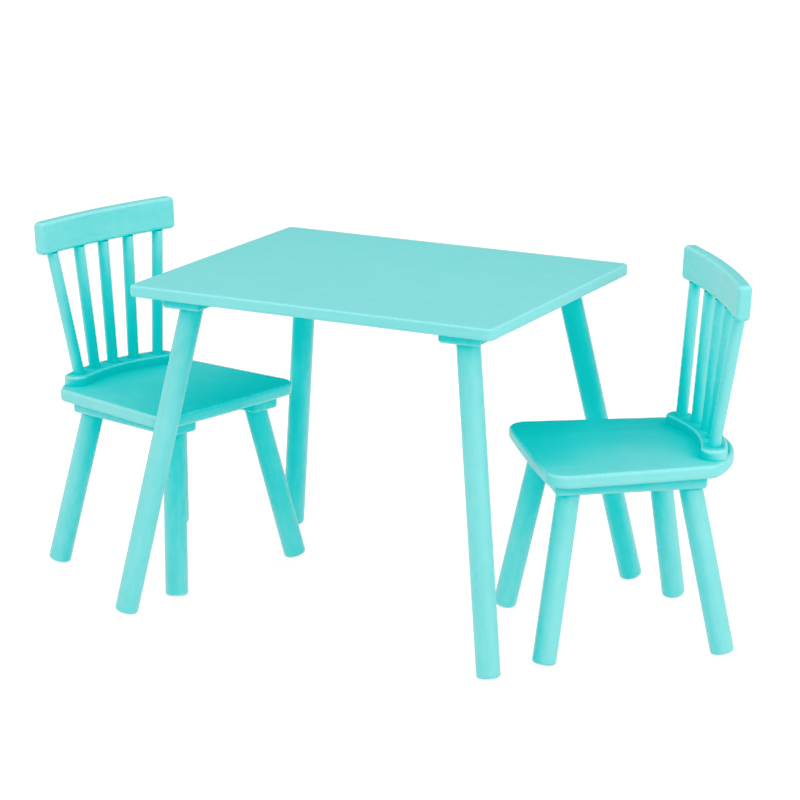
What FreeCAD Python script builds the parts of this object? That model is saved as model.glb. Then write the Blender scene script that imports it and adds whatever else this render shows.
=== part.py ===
import FreeCAD, Part
import math
import os

import Sketcher
from FreeCAD import Placement, Rotation, Vector

# A children's table with two spindle-back chairs, all of painted wood.
# +Z is up and the floor is z = 0. The origin is on the floor, in the middle of the set's footprint.
# The table stands with its long side along X. Each chair is modelled in its own frame, with +X the way
# the sitter faces, +Y to the sitter's left and the origin on the floor between the four legs.
# Every round leg is screwed to a batten with a hanger bolt, which runs in a threaded insert.

# Driving dimensions, in millimetres and degrees.
DIMENSIONS = {
    # where the table and the chairs stand
    "table_centre_x": -12,
    "left_chair_x": -390.8,
    "left_chair_y": 4.7,
    "left_chair_turn": -13.4,
    "right_chair_x": 365.1,
    "right_chair_y": 20.1,
    "right_chair_turn": 217.9,
    # table
    "table_height": 512,
    "tabletop_length": 601,
    "tabletop_width": 484,
    "tabletop_thickness": 18,
    "tabletop_corner": 11,
    "tabletop_rounding": 4,
    "table_batten_length": 418,
    "table_batten_width": 65,
    "table_head_spacing_x": 461,
    "table_head_spacing_y": 346.5,
    "table_foot_spacing_x": 617,
    "table_foot_spacing_y": 516,
    # seat: a bowed front, straight sides that narrow to the back, and a round rear
    "seat_height": 290,
    "seat_thickness": 20,
    "seat_front": 135,
    "seat_front_radius": 2900,
    "seat_front_width": 305,
    "seat_rear": -175,
    "seat_rear_radius": 190,
    "seat_rear_width": 272,
    "seat_front_corner": 30,
    "seat_rear_corner": 20,
    "seat_rounding": 6,
    # seat battens and chair legs
    "seat_batten_length": 226,
    "seat_batten_width": 54,
    "seat_batten_forward": 2.5,
    "chair_head_spacing": 182,
    "chair_foot_spacing": 270,
    # common to the legs and battens
    "leg_radius": 17.5,
    "leg_rounding": 5.5,
    "batten_thickness": 20,
    "batten_corner": 6,
    "batten_rounding": 5,
    # shoe: the curved rail on the seat, with round ends, that holds the spindles' feet
    "shoe_height": 15,
    "shoe_width": 39,
    "shoe_arc_radius": 270,
    "shoe_setback": 141,
    "shoe_end_spacing": 188,
    "shoe_rounding": 5,
    # crest: the bent top rail, which leans back a little
    "crest_underside": 503.5,
    "crest_height": 52,
    "crest_thickness": 21,
    "crest_length": 291,
    "crest_arc_radius": 1000,
    "crest_setback": 156.6,
    "crest_recline": 3,
    "crest_corner": 7.5,
    "crest_rounding": 6,
    # spindles, which fan out from the shoe to the crest
    "spindle_radius": 9,
    "spindle_foot_inner": 43,
    "spindle_foot_outer": 87,
    "spindle_head_inner": 53.5,
    "spindle_head_outer": 115,
    "tenon_radius": 5,
    "tenon_length": 11,
    # metal fittings
    "fitting_clearance": 0.1,
    "insert_radius": 6,
    "insert_length": 12,
    "insert_depth": 2,
    "bolt_radius": 3.9,
    "bolt_in_leg": 36,
    "bolt_in_batten": 13.5,
    "screw_radius": 2,
    "screw_head_radius": 4,
    "screw_head_height": 2.5,
    "table_screw_length": 30,
    "seat_screw_length": 32,
}

TABLE_BATTEN_SCREWS = 3
SEAT_BATTEN_SCREWS = 2
SHOE_SCREWS = 4

UP = Vector(0, 0, 1)

# The corners of a table, and of a chair seen by its sitter, by the signs of X and Y.
TABLE_CORNERS = {(-1, -1): "front_left", (1, -1): "front_right", (-1, 1): "rear_left", (1, 1): "rear_right"}
CHAIR_CORNERS = {(1, 1): "front_left", (1, -1): "front_right", (-1, 1): "rear_left", (-1, -1): "rear_right"}

doc = FreeCAD.newDocument("KidsTableAndChairs")
dims = doc.addObject("Spreadsheet::Sheet", "dims")
for row, (alias, number) in enumerate(DIMENSIONS.items(), start=1):
    dims.set(f"A{row}", str(number))
    dims.setAlias(f"A{row}", alias)
doc.recompute()

nodes = {}


def size(alias):
    """The number that the sheet holds under this alias."""
    return float(dims.get(alias))


def value(formula):
    """What a formula of the sheet's aliases comes to."""
    return float(dims.evalExpression(formula))


def bind(feature, **formulas):
    """Bind properties of a feature to formulas of the sheet's aliases."""
    for name, formula in formulas.items():
        feature.setExpression(name, formula)


def publish(label, feature, place):
    """Make a finished feature the sub-part of this name, at its place in the set."""
    feature.Label = label
    feature.Placement = place
    nodes[label] = feature


def at(x, y, z):
    return Placement(Vector(x, y, z), Rotation())


def evenly(count, reach):
    """Positions from -reach to reach, evenly spaced."""
    return [reach * (2 * step / (count - 1) - 1) for step in range(count)]


# ---------------------------------------------------------------- sketches


def new_sketch(body):
    """A sketch on the body's own XY plane."""
    plane = next(item for item in body.Origin.OriginFeatures if item.Role == "XY_Plane")
    sketch = body.newObject("Sketcher::SketchObject", body.Name + "_sketch")
    sketch.AttachmentSupport = [(plane, "")]
    sketch.MapMode = "FlatFace"
    return sketch


def constrain(sketch, kind, *where):
    """Add a dimension to the sketch, bound to the formula that comes last."""
    index = sketch.addConstraint(Sketcher.Constraint(kind, *where[:-1], value(where[-1])))
    sketch.setExpression(f"Constraints[{index}]", where[-1])


def draw_circle(sketch, radius):
    sketch.addGeometry(Part.Circle(Vector(0, 0, 0), UP, value(radius)))
    sketch.addConstraint(Sketcher.Constraint("Coincident", 0, 3, -1, 1))
    constrain(sketch, "Radius", 0, radius)


def draw_rectangle(sketch, length, width):
    """A rectangle centred on the origin."""
    half_x, half_y = value(length) / 2, value(width) / 2
    corners = [Vector(-half_x, -half_y), Vector(half_x, -half_y),
               Vector(half_x, half_y), Vector(-half_x, half_y)]
    for side in range(4):
        sketch.addGeometry(Part.LineSegment(corners[side], corners[(side + 1) % 4]))
    for side in range(4):
        sketch.addConstraint(Sketcher.Constraint("Coincident", side, 2, (side + 1) % 4, 1))
    for side, direction in enumerate(("Horizontal", "Vertical", "Horizontal", "Vertical")):
        sketch.addConstraint(Sketcher.Constraint(direction, side))
    sketch.addConstraint(Sketcher.Constraint("Symmetric", 0, 1, 1, 2, -1, 1))
    constrain(sketch, "DistanceX", 0, 1, 0, 2, length)
    constrain(sketch, "DistanceY", 1, 1, 1, 2, width)


def arc_about(centre_x, radius, half_width, towards):
    """An arc about a centre on the X axis, as wide as given, that bulges to +X (1) or -X (-1)."""
    swing = math.asin(half_width / radius)
    middle = 0 if towards > 0 else math.pi
    circle = Part.Circle(Vector(centre_x, 0, 0), UP, radius)
    return Part.ArcOfCircle(circle, middle - swing, middle + swing)


def pin_centre(sketch, geometry, centre):
    """Hold an arc's centre on the X axis, this far from the origin."""
    sketch.addConstraint(Sketcher.Constraint("PointOnObject", geometry, 3, -1))
    constrain(sketch, "DistanceX", -1, 1, geometry, 3, centre)


def draw_bowed_outline(sketch, front, rear):
    """A front arc and a rear arc, joined by a straight line at each side.

    Each arc is a centre, radius and width, as formulas, and the side that it bulges to.
    """
    arcs = [arc_about(value(centre), value(radius), value(width) / 2, towards)
            for centre, radius, width, towards in (front, rear)]
    for curve in arcs:
        sketch.addGeometry(curve)
    upper = [2 if arc[3] > 0 else 1 for arc in (front, rear)]
    lower = [1 if arc[3] > 0 else 2 for arc in (front, rear)]
    for ends in (upper, lower):
        points = [sketch.getPoint(geometry, ends[geometry]) for geometry in (0, 1)]
        line = sketch.addGeometry(Part.LineSegment(*points))
        for geometry in (0, 1):
            sketch.addConstraint(Sketcher.Constraint("Coincident", line, geometry + 1, geometry,
                                                     ends[geometry]))
    for geometry, (centre, radius, width) in enumerate((front[:3], rear[:3])):
        pin_centre(sketch, geometry, centre)
        constrain(sketch, "Radius", geometry, radius)
        constrain(sketch, "DistanceY", -1, 1, geometry, upper[geometry], f"{width} / 2")
        constrain(sketch, "DistanceY", geometry, lower[geometry], -1, 1, f"{width} / 2")


def draw_curved_slot(sketch, centre, radius, width, end_spacing):
    """A slot bent round a centre on the X axis, bulging to -X, with its round ends' centres apart."""
    swing = math.asin(value(end_spacing) / 2 / value(radius))
    half = value(width) / 2
    middle = Vector(value(centre), 0, 0)
    for reach in (half, -half):
        circle = Part.Circle(middle, UP, value(radius) + reach)
        sketch.addGeometry(Part.ArcOfCircle(circle, math.pi - swing, math.pi + swing))
    for angle, start in ((math.pi - swing, -swing), (math.pi + swing, math.pi + swing)):
        end = middle + Vector(math.cos(angle), math.sin(angle), 0) * value(radius)
        sketch.addGeometry(Part.ArcOfCircle(Part.Circle(end, UP, half), start, start + math.pi))
    outer, inner, left, right = range(4)
    for first, first_end, second, second_end in ((outer, 1, left, 2), (inner, 1, left, 1),
                                                 (outer, 2, right, 1), (inner, 2, right, 2)):
        sketch.addConstraint(Sketcher.Constraint("Tangent", first, first_end, second, second_end))
    pin_centre(sketch, outer, centre)
    sketch.addConstraint(Sketcher.Constraint("Coincident", inner, 3, outer, 3))
    constrain(sketch, "Radius", outer, f"{radius} + {width} / 2")
    constrain(sketch, "Radius", inner, f"{radius} - {width} / 2")
    constrain(sketch, "DistanceY", -1, 1, left, 3, f"{end_spacing} / 2")
    constrain(sketch, "DistanceY", right, 3, -1, 1, f"{end_spacing} / 2")


# ---------------------------------------------------------------- blanks, before they are drilled


def padded(name, draw, outline, height):
    """A body whose first feature is a pad of the outline that draw makes."""
    body = doc.addObject("PartDesign::Body", name)
    sketch = new_sketch(body)
    draw(sketch, *outline)
    pad = body.newObject("PartDesign::Pad", name + "_pad")
    pad.Profile = sketch
    bind(pad, Length=height)
    doc.recompute()
    return body, pad


def round_over(body, base, wanted, radius):
    """Fillet the edges of the base whose bounding box passes a test."""
    edges = [f"Edge{n}" for n, edge in enumerate(base.Shape.Edges, start=1) if wanted(edge.BoundBox)]
    fillet = body.newObject("PartDesign::Fillet", body.Name + "_fillet")
    fillet.Base = (base, edges)
    bind(fillet, Radius=radius)
    doc.recompute()
    return fillet


def upright(box):
    return box.ZLength > 1


def level_at(*heights):
    """A test for edges that lie level at one of these heights."""
    return lambda box: box.ZLength < 0.01 and any(abs(box.ZMin - height) < 0.01 for height in heights)


def board(name, length, width, thickness, corner):
    """A rectangular board, centred on the origin, with its underside at z = 0 and rounded corners."""
    body, pad = padded(name, draw_rectangle, (length, width), thickness)
    return body, round_over(body, pad, upright, corner)


def seat_blank(name):
    front = ("dims.seat_front - dims.seat_front_radius", "dims.seat_front_radius",
             "dims.seat_front_width", 1)
    rear = ("dims.seat_rear + dims.seat_rear_radius", "dims.seat_rear_radius", "dims.seat_rear_width", -1)
    body, pad = padded(name, draw_bowed_outline, (front, rear), "dims.seat_thickness")
    corners = round_over(body, pad, lambda box: upright(box) and box.XMin > 0, "dims.seat_front_corner")
    corners = round_over(body, corners, lambda box: upright(box) and box.XMax < 0 and box.YLength < 1,
                         "dims.seat_rear_corner")
    round_over(body, corners, level_at(0, size("seat_thickness")), "dims.seat_rounding")
    return body


def shoe_blank(name):
    slot = ("dims.shoe_arc_radius - dims.shoe_setback", "dims.shoe_arc_radius", "dims.shoe_width",
            "dims.shoe_end_spacing")
    body, pad = padded(name, draw_curved_slot, slot, "dims.shoe_height")
    round_over(body, pad, level_at(size("shoe_height")), "dims.shoe_rounding")
    return body


def crest_blank(name):
    centre = "dims.crest_arc_radius - dims.crest_setback"
    front, rear = ((centre, f"dims.crest_arc_radius {side} dims.crest_thickness / 2", "dims.crest_length", -1)
                   for side in "-+")
    body, pad = padded(name, draw_bowed_outline, (front, rear), "dims.crest_height")
    pad.UseCustomVector = True
    pad.AlongSketchNormal = True
    pad.Direction = Vector(-math.tan(math.radians(size("crest_recline"))), 0, 1)
    doc.recompute()
    corners = round_over(body, pad, lambda box: box.YLength < 0.01 and box.ZLength < 0.01,
                         "dims.crest_corner")
    faces = sorted(enumerate(corners.Shape.Faces, start=1), key=lambda item: -item[1].Area)
    fillet = body.newObject("PartDesign::Fillet", name + "_arris")
    fillet.Base = (corners, [f"Face{number}" for number, face in faces[:2]])
    bind(fillet, Radius="dims.crest_rounding")
    return body


# ---------------------------------------------------------------- drilling and cutting


def drill(name, radius, depth, place):
    """A cylinder from the placement's origin along its +Z."""
    tool = doc.addObject("Part::Cylinder", name)
    bind(tool, Radius=radius, Height=depth)
    tool.Placement = place
    return tool


def pilot_hole(name, depth, point):
    """A hole for a screw's shank, drilled upwards from a point on an underside."""
    return drill(name, "dims.screw_radius + dims.fitting_clearance", depth, Placement(point, Rotation()))


def screw_hole(name, depth, point):
    """A hole for a screw's shank and countersunk head, drilled upwards from an underside."""
    countersink = doc.addObject("Part::Cone", name + "_countersink")
    bind(countersink, Radius1="dims.screw_head_radius + dims.fitting_clearance",
         Radius2="dims.screw_radius + dims.fitting_clearance", Height="dims.screw_head_height")
    countersink.Placement = Placement(point, Rotation())
    return [pilot_hole(name, depth, point), countersink]


def cut(name, blank, tools):
    """The blank with every tool cut out of it."""
    merged = doc.addObject("Part::MultiFuse", name + "_tools")
    merged.Shapes = tools
    result = doc.addObject("Part::Cut", name)
    result.Base = blank
    result.Tool = merged
    return result


# ---------------------------------------------------------------- straight round members


class Axis:
    """A straight line from a foot to a head, with places along it."""

    def __init__(self, foot, head):
        self.foot = foot
        self.head = head
        self.up = (head - foot).normalize()

    def from_foot(self, distance):
        """A placement this far above the foot, with +Z up the line."""
        return Placement(self.foot + self.up * distance, Rotation(UP, self.up))

    def from_head(self, distance):
        """A placement this far above the head, with +Z up the line."""
        return Placement(self.head + self.up * distance, Rotation(UP, self.up))


def leg_axes(head_x, head_y, foot_x, foot_y, head_height):
    """The axes of four splayed legs, by the signs of X and Y, down to where they pierce the floor."""
    return {(x, y): Axis(Vector(x * foot_x / 2, y * foot_y / 2, 0),
                         Vector(x * head_x / 2, y * head_y / 2, head_height))
            for x in (-1, 1) for y in (-1, 1)}


def foot_lift(axis):
    """How far up its axis a leg's foot ends, so that its lowest edge just touches the floor.

    The foot is cut square to the leg and its edge is rounded, so it stands on its inner edge.
    """
    lean = axis.up.getAngle(UP)
    rounding = size("leg_rounding")
    height = (size("leg_radius") - rounding) * math.sin(lean) + rounding * (1 - math.cos(lean))
    return height / math.cos(lean)


def make_leg(label, axis, length, place):
    """A round leg, cut level at its head, with a bore for its hanger bolt."""
    body, pad = padded(label + "_blank", draw_circle, ("dims.leg_radius",), f"{length} + dims.leg_radius")
    round_over(body, pad, level_at(0), "dims.leg_rounding")
    body.Placement = axis.from_foot(foot_lift(axis))
    waste = doc.addObject("Part::Box", label + "_waste")
    bind(waste, Length="4 * dims.leg_radius", Width="4 * dims.leg_radius", Height="4 * dims.leg_radius")
    reach = 2 * size("leg_radius")
    waste.Placement = Placement(axis.head - Vector(reach, reach, 0), Rotation())
    bore = drill(label + "_bore", "dims.bolt_radius + dims.fitting_clearance",
                 "dims.bolt_in_leg + dims.leg_radius", axis.from_head(-size("bolt_in_leg") - 1))
    publish(label, cut(label, body, [waste, bore]), place)


def insert_hole(name, axis):
    """The hole for a threaded insert, drilled into a batten along a leg's axis."""
    return drill(name, "dims.insert_radius + dims.fitting_clearance",
                 "2 * dims.insert_depth + dims.insert_length + dims.fitting_clearance",
                 axis.from_head(-size("insert_depth")))


def make_spindle(label, axis, place):
    """A round spindle, cut level where it meets the shoe and the crest, with a tenon at each end."""
    barrel = doc.addObject("Part::Cylinder", label + "_barrel")
    bind(barrel, Radius="dims.spindle_radius",
         Height="dims.crest_underside - dims.seat_height + 2 * dims.spindle_radius")
    barrel.Placement = axis.from_foot(-size("spindle_radius"))
    slab = doc.addObject("Part::Box", label + "_span")
    bind(slab, Length="8 * dims.spindle_radius", Width="8 * dims.spindle_radius",
         Height="dims.crest_underside - dims.seat_height - dims.shoe_height")
    reach = 4 * size("spindle_radius")
    middle = (axis.foot + axis.head) / 2
    slab.Placement = at(middle.x - reach, middle.y - reach, axis.foot.z)
    shank = doc.addObject("Part::Common", label + "_shank")
    shank.Base = barrel
    shank.Tool = slab
    tenons = [drill(f"{label}_{end}_tenon", "dims.tenon_radius", "2 * dims.tenon_length", start)
              for end, start in (("foot", axis.from_foot(-size("tenon_length"))),
                                 ("head", axis.from_head(-size("tenon_length"))))]
    spindle = doc.addObject("Part::MultiFuse", label)
    spindle.Shapes = [shank] + tenons
    publish(label, spindle, place)


def tenon_socket(name, end_place):
    """The socket for a spindle's tenon, a little wider and deeper than the tenon."""
    return drill(name, "dims.tenon_radius + dims.fitting_clearance", "2 * dims.tenon_length + 0.5", end_place)


# ---------------------------------------------------------------- metal fittings


def insert_shape():
    """A threaded insert: a plain tube with its lower end at the origin."""
    length = size("insert_length")
    bore = Part.makeCylinder(size("bolt_radius") + size("fitting_clearance"), length)
    return Part.makeCylinder(size("insert_radius"), length).cut(bore)


def turned(profile):
    """The solid that a profile of (radius, height) points makes about the Z axis."""
    points = [Vector(radius, 0, height) for radius, height in profile]
    return Part.Face(Part.makePolygon(points + points[:1])).revolve(Vector(0, 0, 0), UP, 360)


def bolt_shape():
    """A hanger bolt: the pointed wood thread below the origin, the machine thread above."""
    radius = size("bolt_radius")
    low, high = -size("bolt_in_leg"), size("bolt_in_batten")
    return turned([(0, low), (radius / 3, low), (radius, low + radius), (radius, high - 1),
                   (radius - 1, high), (0, high)])


def screw_shape(length):
    """A countersunk screw that points up from the flat of its head at the origin."""
    radius = size("screw_radius")
    return turned([(0, 0), (size("screw_head_radius"), 0), (radius, size("screw_head_height")),
                   (radius, length - 2 * radius), (0, length)])


def fittings(label, shape, places, place):
    """A group of identical fittings, each a solid of its own."""
    solids = []
    for spot in places:
        solid = shape.copy()
        solid.Placement = spot
        solids.append(solid)
    group = doc.addObject("Part::Feature", label)
    group.Shape = Part.makeCompound(solids)
    publish(label, group, place)


def leg_fittings(prefix, axes, place):
    """The hanger bolts and threaded inserts of one table or chair."""
    fittings(prefix + "_hanger_bolts", bolt_shape(), [axis.from_head(0) for axis in axes.values()], place)
    fittings(prefix + "_threaded_inserts", insert_shape(),
             [axis.from_head(size("insert_depth")) for axis in axes.values()], place)


def screws(label, length, points, place):
    """A group of countersunk screws that point up from these points on an underside."""
    fittings(label, screw_shape(size(length)), [Placement(point, Rotation()) for point in points], place)


# ---------------------------------------------------------------- table


def make_batten(label, outline, corner, middle, tools, place):
    """A batten under a board, with its lower edges rounded, drilled for its inserts and screws."""
    body, blank = board(label + "_blank", *outline, "dims.batten_thickness", corner)
    round_over(body, blank, level_at(0), "dims.batten_rounding")
    body.Placement = Placement(middle, Rotation())
    publish(label, cut(label, body, tools), place)


def make_table():
    """The tabletop, its two battens and its four legs."""
    place = at(size("table_centre_x"), 0, 0)
    underside = size("table_height") - size("tabletop_thickness")
    head_height = underside - size("batten_thickness")
    head_x, head_y = size("table_head_spacing_x"), size("table_head_spacing_y")
    axes = leg_axes(head_x, head_y, size("table_foot_spacing_x"), size("table_foot_spacing_y"), head_height)
    screw_points = {side: [Vector(side * head_x / 2, y, head_height)
                           for y in evenly(TABLE_BATTEN_SCREWS, head_y / 3)] for side in (-1, 1)}

    body, blank = board("tabletop_blank", "dims.tabletop_length", "dims.tabletop_width",
                        "dims.tabletop_thickness", "dims.tabletop_corner")
    round_over(body, blank, level_at(0, size("tabletop_thickness")), "dims.tabletop_rounding")
    body.Placement = at(0, 0, underside)
    pilots = [pilot_hole(f"tabletop_pilot_{number}", "dims.table_screw_length + 1", point)
              for number, point in enumerate(screw_points[-1] + screw_points[1])]
    publish("tabletop", cut("tabletop", body, pilots), place)

    for name, side in (("left", -1), ("right", 1)):
        label = f"table_batten_{name}"
        tools = [insert_hole(f"{label}_insert_hole_{end + 1}", axes[side, end]) for end in (-1, 1)]
        for number, point in enumerate(screw_points[side]):
            tools += screw_hole(f"{label}_screw_hole_{number}", "dims.batten_thickness", point)
        make_batten(label, ("dims.table_batten_width", "dims.table_batten_length"), "dims.batten_corner",
                    Vector(side * head_x / 2, 0, head_height), tools, place)

    run_x = "(dims.table_foot_spacing_x - dims.table_head_spacing_x)"
    run_y = "(dims.table_foot_spacing_y - dims.table_head_spacing_y)"
    rise = "(dims.table_height - dims.tabletop_thickness - dims.batten_thickness)"
    for corner, name in TABLE_CORNERS.items():
        make_leg(f"table_leg_{name}", axes[corner], f"sqrt({run_x}^2 / 4 + {run_y}^2 / 4 + {rise}^2)", place)

    leg_fittings("table", axes, place)
    screws("table_batten_screws", "table_screw_length", screw_points[-1] + screw_points[1], place)


# ---------------------------------------------------------------- chairs


def spindle_axes():
    """The axes of the spindles, from the sitter's right to left, between the shoe and the crest."""
    shoe_top = size("seat_height") + size("shoe_height")

    def on_arc(radius, setback, y, z):
        return Vector(radius - setback - math.sqrt(radius**2 - y**2), y, z)

    feet = [0, size("spindle_foot_inner"), size("spindle_foot_outer")]
    heads = [0, size("spindle_head_inner"), size("spindle_head_outer")]
    axes = []
    for step in range(-2, 3):
        side = -1 if step < 0 else 1
        foot = on_arc(size("shoe_arc_radius"), size("shoe_setback"), side * feet[abs(step)], shoe_top)
        head = on_arc(size("crest_arc_radius"), size("crest_setback"), side * heads[abs(step)],
                      size("crest_underside"))
        axes.append(Axis(foot, head))
    return axes


def shoe_screw_points(z):
    """Points on the shoe's centre line, midway between the spindles' feet, at this height."""
    radius = size("shoe_arc_radius")
    spread = size("spindle_foot_outer") * (SHOE_SCREWS - 1) / SHOE_SCREWS
    return [Vector(radius - size("shoe_setback") - math.sqrt(radius**2 - y**2), y, z)
            for y in evenly(SHOE_SCREWS, spread)]


def make_seat(chair, batten_points, shoe_points, place):
    """The seat board, drilled for the screws of its battens and its shoe."""
    body = seat_blank(chair + "_seat_blank")
    body.Placement = at(0, 0, size("seat_height") - size("seat_thickness"))
    tools = [pilot_hole(f"{chair}_seat_pilot_{number}", "dims.seat_screw_length + 1", point)
             for number, point in enumerate(batten_points)]
    for number, point in enumerate(shoe_points):
        tools += screw_hole(f"{chair}_seat_screw_hole_{number}", "dims.seat_thickness", point)
    publish(f"{chair}_seat", cut(f"{chair}_seat", body, tools), place)


def make_seat_battens(chair, axes, batten_points, place):
    """The two battens that run from front to back under a seat and carry its legs."""
    head = size("chair_head_spacing") / 2
    for name, side in (("left", 1), ("right", -1)):
        label = f"{chair}_seat_batten_{name}"
        tools = [insert_hole(f"{label}_insert_hole_{end + 1}", axes[end, side]) for end in (-1, 1)]
        for number, point in enumerate(point for point in batten_points if point.y * side > 0):
            tools += screw_hole(f"{label}_screw_hole_{number}", "dims.batten_thickness", point)
        middle = Vector(size("seat_batten_forward"), side * head, axes[1, 1].head.z)
        make_batten(label, ("dims.seat_batten_length", "dims.seat_batten_width"), "dims.batten_corner",
                    middle, tools, place)


def make_back(chair, shoe_points, place):
    """The shoe, the spindles and the crest."""
    axes = spindle_axes()
    tenon = size("tenon_length")

    shoe = shoe_blank(chair + "_shoe_blank")
    shoe.Placement = at(0, 0, size("seat_height"))
    tools = [tenon_socket(f"{chair}_shoe_socket_{number}", axis.from_foot(-tenon - 0.5))
             for number, axis in enumerate(axes)]
    tools += [pilot_hole(f"{chair}_shoe_pilot_{number}", "dims.seat_screw_length + 1", point)
              for number, point in enumerate(shoe_points)]
    publish(f"{chair}_back_shoe", cut(f"{chair}_back_shoe", shoe, tools), place)

    crest = crest_blank(chair + "_crest_blank")
    crest.Placement = at(0, 0, size("crest_underside"))
    tools = [tenon_socket(f"{chair}_crest_socket_{number}", axis.from_head(-tenon))
             for number, axis in enumerate(axes)]
    publish(f"{chair}_crest_rail", cut(f"{chair}_crest_rail", crest, tools), place)

    for number, axis in enumerate(axes, start=1):
        make_spindle(f"{chair}_spindle_{number}", axis, place)


def make_chair(chair):
    """One chair: seat, battens, legs, back and fittings, turned and set down at its place."""
    place = Placement(Vector(size(f"{chair}_x"), size(f"{chair}_y"), 0),
                      Rotation(UP, size(f"{chair}_turn")))
    underside = size("seat_height") - size("seat_thickness")
    head_height = underside - size("batten_thickness")
    head, foot = size("chair_head_spacing"), size("chair_foot_spacing")
    axes = leg_axes(head, head, foot, foot, head_height)
    batten_points = [Vector(x, side * head / 2, head_height)
                     for side in (-1, 1) for x in evenly(SEAT_BATTEN_SCREWS, head / 4)]
    shoe_points = shoe_screw_points(underside)

    make_seat(chair, batten_points, shoe_points, place)
    make_seat_battens(chair, axes, batten_points, place)
    run = "(dims.chair_foot_spacing - dims.chair_head_spacing)"
    rise = "(dims.seat_height - dims.seat_thickness - dims.batten_thickness)"
    for corner, name in CHAIR_CORNERS.items():
        make_leg(f"{chair}_leg_{name}", axes[corner], f"sqrt({run}^2 / 2 + {rise}^2)", place)
    make_back(chair, shoe_points, place)
    leg_fittings(chair, axes, place)
    screws(f"{chair}_batten_screws", "seat_screw_length", batten_points, place)
    screws(f"{chair}_shoe_screws", "seat_screw_length", shoe_points, place)


# ---------------------------------------------------------------- build, check and write


def check():
    """Stop unless every object was computed and every sub-part is whole."""
    for item in doc.Objects:
        if {"Invalid", "Error"} & set(item.State):
            raise RuntimeError(f"{item.Label} was not computed: {item.State}")
    for label, feature in nodes.items():
        shape = feature.Shape
        if shape.isNull() or not shape.isValid() or not shape.Solids:
            raise RuntimeError(f"{label} is not a valid solid")
        if feature.TypeId != "Part::Feature" and len(shape.Solids) != 1:
            raise RuntimeError(f"{label} is {len(shape.Solids)} solids")


make_table()
make_chair("left_chair")
make_chair("right_chair")
doc.recompute()
check()
os.makedirs("parts", exist_ok=True)
for label, feature in nodes.items():
    feature.Shape.exportStep(f"parts/{label}.step")
print(len(nodes), "sub-parts written")
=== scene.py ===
"""A children's table with two spindle-back chairs, in satin aqua paint, in a plain white studio."""

import math

import bpy
import numpy as np
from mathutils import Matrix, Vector

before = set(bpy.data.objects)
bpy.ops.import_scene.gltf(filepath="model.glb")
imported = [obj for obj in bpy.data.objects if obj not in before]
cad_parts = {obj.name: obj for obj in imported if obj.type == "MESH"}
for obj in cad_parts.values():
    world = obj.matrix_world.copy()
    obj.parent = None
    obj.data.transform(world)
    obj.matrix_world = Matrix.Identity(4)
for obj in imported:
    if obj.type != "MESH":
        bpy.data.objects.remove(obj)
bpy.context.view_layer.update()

MM = 0.001

# Colours, as linear values.
AQUA = (0.133, 0.642, 0.638, 1)
AQUA_DEEP = (0.114, 0.594, 0.590, 1)
# The colour of the painted highlight on the upward-facing arrises.
AQUA_PAINTED_HIGHLIGHT = (0.175, 0.690, 0.700, 1)
ZINC = (0.55, 0.56, 0.57, 1)
ZINC_DULL = (0.36, 0.37, 0.38, 1)
FLOOR = (0.30, 0.30, 0.30, 1)
WHITE = (1, 1, 1, 1)

# How strongly the wood shows through the paint on the wide boards, and on every other piece.
GRAIN_ON_BOARDS = 0.35
GRAIN_ELSEWHERE = 1.0

# How far each piece's texture is shifted from the one before, in metres, so that no two are alike.
TEXTURE_STEP = (0.37, 0.61, 0.23)

# The studio: the strengths of the floor's and the surround's glow, and the floor's half width in metres.
FLOOR_GLOW = 0.74
SURROUND_GLOW = 1.02
FLOOR_REACH = 40

# Each softbox's name, place and size in metres, and power in watts. They all face the middle of the set.
SET_MIDDLE = (0, 0, 0.3)
SOFTBOXES = (
    ("right", (3.4, -0.6, 1.8), (1.8, 1.8), 36),
    ("front_left", (-1.6, -3.4, 2.3), (1.8, 1.8), 21),
    ("left", (-3.4, -0.6, 1.8), (1.8, 1.8), 8),
    ("overhead", (0, -0.1, 1.5), (1.3, 1.1), 2.3),
)

# The photo's viewpoint, in metres and degrees, and its lens and sensor in millimetres.
CAMERA_PLACE = (1.9822, -3.7421, 1.4691)
CAMERA_AZIMUTH = 27.70
CAMERA_ELEVATION = 15.23
CAMERA_LENS = 129.39
CAMERA_SENSOR = 36
CAMERA_FARTHEST = 200

# The view's curve on red: each level before it, and the level after.
RED_LEVELS = ((0.09, 0.004), (0.11, 0.028), (0.13, 0.10), (0.155, 0.195), (0.18, 0.27), (0.22, 0.31),
              (0.4, 0.43), (0.7, 0.74), (0.92, 1.0))

# The numbers of the Mix node's sockets for colours, whose names repeat.
MIX_FACTOR, MIX_FIRST, MIX_SECOND = 0, 6, 7
MIX_RESULT = 2


# ---------------------------------------------------------------- node helpers


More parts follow.
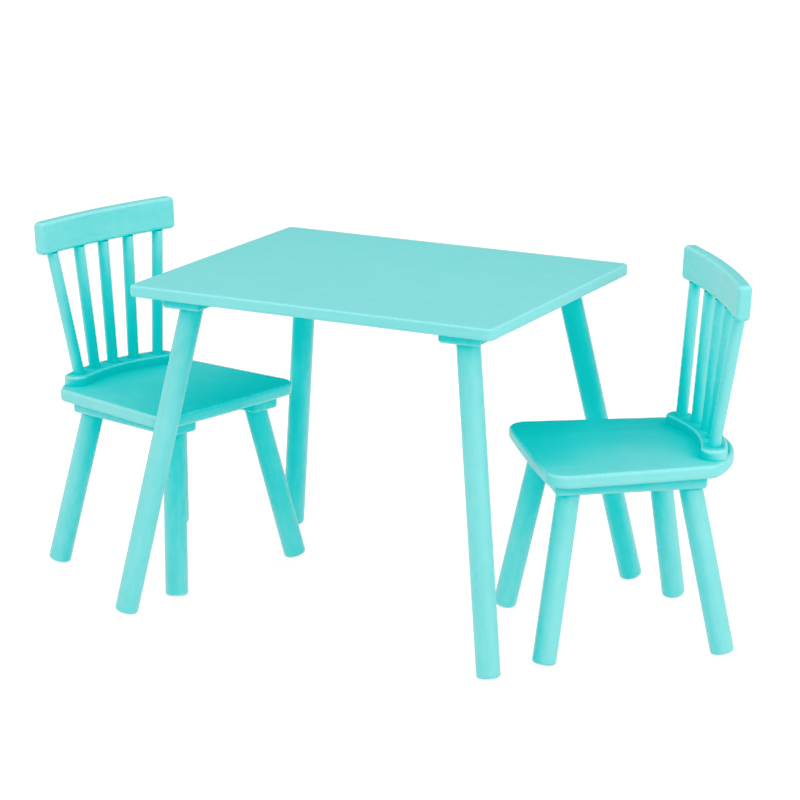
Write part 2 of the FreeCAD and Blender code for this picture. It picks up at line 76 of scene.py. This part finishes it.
class Tree:
    """Builds a material's nodes, one call a node."""

    def __init__(self, name):
        self.material = bpy.data.materials.new(name)
        self.material.use_nodes = True
        self.tree = self.material.node_tree
        self.tree.nodes.clear()

    def give(self, socket, given):
        """Link an output to this input, or set the input to a constant."""
        if isinstance(given, bpy.types.NodeSocket):
            self.tree.links.new(given, socket)
        else:
            socket.default_value = given

    def add(self, kind, settings=None, **inputs):
        """A node with its inputs set or linked. An input is named with _ for each space."""
        node = self.tree.nodes.new(kind)
        for name, setting in (settings or {}).items():
            setattr(node, name, setting)
        for name, given in inputs.items():
            self.give(self.socket(node, name), given)
        return node

    def socket(self, node, name):
        """The enabled input of this name, or of this number when the name is in_ and a number."""
        if name.startswith("in_"):
            return node.inputs[int(name.removeprefix("in_"))]
        wanted = name.replace("_", " ").lower()
        return next(s for s in node.inputs if s.enabled and s.name.lower() == wanted)

    def math(self, operation, *values):
        inputs = {f"in_{index}": value for index, value in enumerate(values)}
        return self.add("ShaderNodeMath", {"operation": operation}, **inputs).outputs[0]

    def noise(self, vector, scale, detail=2.0, roughness=0.5, distortion=0.0):
        return self.add("ShaderNodeTexNoise", None, vector=vector, scale=scale, detail=detail,
                        roughness=roughness, distortion=distortion).outputs["Fac"]

    def remap(self, value, span, result):
        """The value's place in a span, eased and moved to the result's span."""
        return self.add("ShaderNodeMapRange", {"interpolation_type": "SMOOTHSTEP"}, value=value,
                        from_min=span[0], from_max=span[1], to_min=result[0], to_max=result[1]).outputs[0]

    def mix(self, factor, first, second):
        """The first colour, turned into the second as the factor goes from 0 to 1."""
        node = self.tree.nodes.new("ShaderNodeMix")
        node.data_type = "RGBA"
        for index, given in ((MIX_FACTOR, factor), (MIX_FIRST, first), (MIX_SECOND, second)):
            self.give(node.inputs[index], given)
        return node.outputs[MIX_RESULT]

    def bump(self, height, distance, strength, below=None):
        """A normal with this relief, on top of the one below it if there is one."""
        inputs = {"height": height, "distance": distance, "strength": strength}
        if below is not None:
            inputs["normal"] = below
        return self.add("ShaderNodeBump", None, **inputs).outputs[0]

    def finish(self, shader):
        out = self.tree.nodes.new("ShaderNodeOutputMaterial")
        self.tree.links.new(shader.outputs[0], out.inputs["Surface"])
        return self.material


def along(tree, direction, shift):
    """The surface's place, turned so that X runs along the grain, and shifted to a board of its own."""
    turn = Vector(direction).to_track_quat("X", "Z").inverted().to_euler()
    place = tree.add("ShaderNodeTexCoord").outputs["Object"]
    return tree.add("ShaderNodeMapping", {"vector_type": "POINT"}, vector=place, rotation=turn,
                    location=shift).outputs[0]


def stretched(tree, place, times):
    """The place, squeezed along X so that a texture on it is drawn out this many times."""
    return tree.add("ShaderNodeMapping", {"vector_type": "POINT"}, vector=place,
                    scale=(1 / times, 1, 1)).outputs[0]


# ---------------------------------------------------------------- materials


def painted_wood(name, direction, shift, grain):
    """Satin paint over wood, with a painted highlight on the upward-facing arrises. Grain is how strongly
    the wood shows through.
    """
    tree = Tree(name)
    place = along(tree, direction, shift)

    fibres = tree.noise(stretched(tree, place, times=26), scale=620, detail=4, roughness=0.6)
    growth = tree.noise(stretched(tree, place, times=14), scale=85, detail=3, roughness=0.55, distortion=0.4)
    brush = tree.noise(stretched(tree, place, times=60), scale=1500, detail=2)
    peel = tree.noise(place, scale=420, detail=2)
    cloud = tree.noise(place, scale=7.5, detail=3, roughness=0.6)
    patches = tree.noise(stretched(tree, place, times=2.5), scale=95, detail=2, roughness=0.6)

    # colour: soft clouds, faint growth rings, and patches where the paint soaked in
    shade = tree.remap(cloud, span=(0.3, 0.7), result=(0, 0.45))
    shade = tree.math("ADD", shade, tree.remap(growth, span=(0.35, 0.7), result=(0, 0.25 * grain)))
    shade = tree.math("ADD", shade, tree.remap(patches, span=(0.35, 0.65), result=(0, 0.30 * grain)))
    colour = tree.mix(shade, AQUA, AQUA_DEEP)

    # painted highlight: the arrises that face up are lightened towards pale aqua, broken up by noise
    facing = tree.add("ShaderNodeNewGeometry").outputs["Normal"]
    upward = tree.add("ShaderNodeSeparateXYZ", None, vector=facing).outputs["Z"]
    above_sides = tree.remap(upward, span=(0.25, 0.55), result=(0, 1))
    beside_tops = tree.remap(upward, span=(0.98, 0.86), result=(0, 1))
    arris_highlight = tree.math("MULTIPLY", above_sides, beside_tops)
    highlight_breakup = tree.remap(tree.noise(place, scale=160, detail=3), span=(0.35, 0.65), result=(0.45, 1))
    colour = tree.mix(tree.math("MULTIPLY", arris_highlight, highlight_breakup), colour, AQUA_PAINTED_HIGHLIGHT)

    # gloss: half from the clouds and half from the orange peel
    unevenness = tree.math("ADD", tree.math("MULTIPLY", cloud, 0.5), tree.math("MULTIPLY", peel, 0.5))
    gloss = tree.remap(unevenness, span=(0.3, 0.7), result=(0.44, 0.54))

    # relief: growth rings, fibres, brush marks and orange peel
    normal = tree.bump(growth, distance=0.5 * MM, strength=0.10 * grain)
    normal = tree.bump(fibres, distance=0.16 * MM, strength=0.45 * grain, below=normal)
    normal = tree.bump(brush, distance=0.05 * MM, strength=0.35, below=normal)
    normal = tree.bump(peel, distance=0.09 * MM, strength=0.35, below=normal)
    shader = tree.add("ShaderNodeBsdfPrincipled", None, base_color=colour, roughness=gloss, ior=1.5,
                      specular_ior_level=0.2, normal=normal)
    return tree.finish(shader)


def zinc_plated(name):
    """Zinc-plated steel, dull in patches, with fine scratches across X."""
    tree = Tree(name)
    place = tree.add("ShaderNodeTexCoord").outputs["Object"]
    patches = tree.noise(place, scale=380, detail=3, roughness=0.6)
    scratches = tree.noise(stretched(tree, place, times=0.05), scale=900, detail=2)
    colour = tree.mix(tree.remap(patches, span=(0.35, 0.65), result=(0, 1)), ZINC, ZINC_DULL)
    gloss = tree.remap(patches, span=(0.3, 0.7), result=(0.28, 0.48))
    normal = tree.bump(scratches, distance=0.03 * MM, strength=0.4)
    shader = tree.add("ShaderNodeBsdfPrincipled", None, base_color=colour, metallic=1.0, roughness=gloss,
                      normal=normal)
    return tree.finish(shader)


def long_axis(node):
    """The direction in which a piece is longest."""
    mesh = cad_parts[node].data
    points = np.empty(len(mesh.vertices) * 3)
    mesh.vertices.foreach_get("co", points)
    points = points.reshape(-1, 3)
    spread = np.cov((points - points.mean(0)).T)
    return Vector(np.linalg.eigh(spread)[1][:, -1])


def grain_direction(node):
    """Lengthways on the tabletop, front to back on a seat as on its battens, and else the long axis."""
    if node == "tabletop":
        return Vector((1, 0, 0))
    if node.endswith("_seat"):
        return long_axis(node + "_batten_left")
    return long_axis(node)


def paint_for(node, number):
    """A piece's own paint, with its own grain direction and stretch of texture."""
    board = node == "tabletop" or node.endswith("_seat")
    shift = tuple(step * number for step in TEXTURE_STEP)
    return painted_wood("painted_" + node, grain_direction(node), shift,
                        GRAIN_ON_BOARDS if board else GRAIN_ELSEWHERE)


FITTINGS = ("bolts", "inserts", "screws")
zinc = zinc_plated("zinc_plated_steel")

for number, node in enumerate(sorted(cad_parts)):
    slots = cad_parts[node].data.materials
    slots.clear()
    slots.append(zinc if node.endswith(FITTINGS) else paint_for(node, number))


# ---------------------------------------------------------------- stage, light and camera


def make_floor():
    """A pale, softly glowing sheet, which can be seen through from below."""
    mesh = bpy.data.meshes.new("floor")
    reach = FLOOR_REACH
    mesh.from_pydata([(-reach, -reach, 0), (reach, -reach, 0), (reach, reach, 0), (-reach, reach, 0)], [],
                     [(0, 1, 2, 3)])
    floor = bpy.data.objects.new("floor", mesh)
    bpy.context.scene.collection.objects.link(floor)
    tree = Tree("floor_white")
    paper = tree.add("ShaderNodeBsdfDiffuse", None, color=FLOOR)
    glow = tree.add("ShaderNodeEmission", None, strength=FLOOR_GLOW)
    lit = tree.add("ShaderNodeAddShader", None, in_0=paper.outputs[0], in_1=glow.outputs[0])
    clear = tree.add("ShaderNodeBsdfTransparent")
    below = tree.add("ShaderNodeNewGeometry").outputs["Backfacing"]
    both = tree.add("ShaderNodeMixShader", None, in_0=below, in_1=lit.outputs[0], in_2=clear.outputs[0])
    mesh.materials.append(tree.finish(both))


def softbox(name, place, size, watts):
    """A rectangular light that faces the middle of the set and isn't seen by the camera."""
    light = bpy.data.lights.new(name, "AREA")
    light.shape = "RECTANGLE"
    light.size, light.size_y = size
    light.energy = watts
    lamp = bpy.data.objects.new(name, light)
    lamp.location = place
    lamp.rotation_euler = (Vector(SET_MIDDLE) - Vector(place)).to_track_quat("-Z", "Y").to_euler()
    lamp.visible_camera = False
    bpy.context.scene.collection.objects.link(lamp)


def make_world():
    """An even white surround that lights the set but isn't mirrored in it."""
    world = bpy.data.worlds.new("studio")
    world.use_nodes = True
    surround = world.node_tree.nodes["Background"].inputs
    surround["Color"].default_value = WHITE
    surround["Strength"].default_value = SURROUND_GLOW
    bpy.context.scene.world = world
    world.cycles_visibility.glossy = False


def make_camera():
    """The photo's camera. Its azimuth is how far it stands round from the front towards the right."""
    azimuth, elevation = math.radians(CAMERA_AZIMUTH), math.radians(CAMERA_ELEVATION)
    forward = Vector((-math.sin(azimuth) * math.cos(elevation), math.cos(azimuth) * math.cos(elevation),
                      -math.sin(elevation)))
    data = bpy.data.cameras.new("camera")
    data.sensor_width = CAMERA_SENSOR
    data.lens = CAMERA_LENS
    data.clip_end = CAMERA_FARTHEST
    camera = bpy.data.objects.new("camera", data)
    camera.location = CAMERA_PLACE
    camera.rotation_euler = forward.to_track_quat("-Z", "Y").to_euler()
    bpy.context.scene.collection.objects.link(camera)
    bpy.context.scene.camera = camera


def make_look():
    """The picture's own contrast: the paint's red fades out in the shade and comes up in the light."""
    view = bpy.context.scene.view_settings
    view.view_transform = "Standard"
    view.use_curve_mapping = True
    red = view.curve_mapping.curves[0]
    for before, after in RED_LEVELS:
        red.points.new(before, after).handle_type = "AUTO_CLAMPED"
    view.curve_mapping.update()


make_floor()
make_world()
for box in SOFTBOXES:
    softbox(*box)
make_camera()
make_look()
